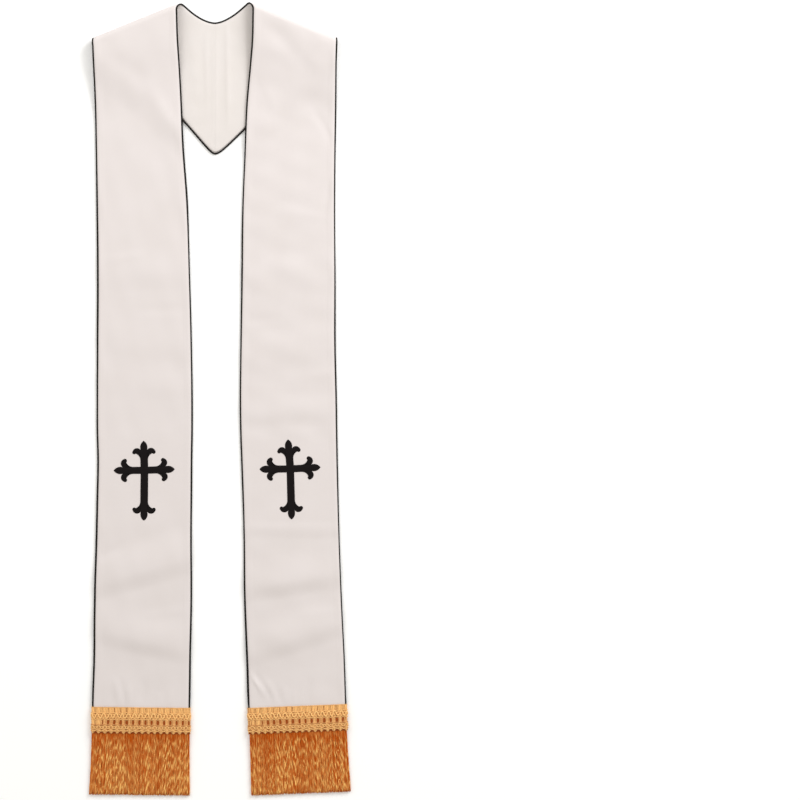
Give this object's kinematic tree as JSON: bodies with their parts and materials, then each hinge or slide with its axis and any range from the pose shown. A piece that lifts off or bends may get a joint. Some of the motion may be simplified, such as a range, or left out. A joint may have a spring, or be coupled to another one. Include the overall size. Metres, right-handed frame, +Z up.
{
  "type": "clerical stole",
  "caption": "Long narrow ivory vestment scarf folded at the shoulders and laid flat, with black piping, embroidered crosses, gold braid and fringed ends.",
  "frame": {"origin": "middle of the stole's outline, on the surface that it lies on", "axes": "+Y from the fringes to the neck, +Z up out of the fronts, +X across to the front that the picture shows on the right"},
  "size_m": [0.4234, 1.2982, 0.0188],
  "materials": {
    "face_cloth": "fine ivory twill with a soft sheen",
    "lining_cloth": "smooth ivory lining",
    "piping_cord": "black cloth-covered cord",
    "header_braid": "pale gold rayon braid",
    "fringe_yarn": "copper-gold rayon strands",
    "embroidery": "black satin stitch"
  },
  "bodies": {
    "root": {"face_left": "face_cloth", "face_right": "face_cloth", "lining_left": "lining_cloth", "lining_right": "lining_cloth", "piping_outer": "piping_cord", "piping_inner": "piping_cord", "braid_left": "header_braid", "braid_right": "header_braid", "fringe_left": "fringe_yarn", "fringe_right": "fringe_yarn", "cross_left": "embroidery", "cross_right": "embroidery"}
  },
  "joints": []
}
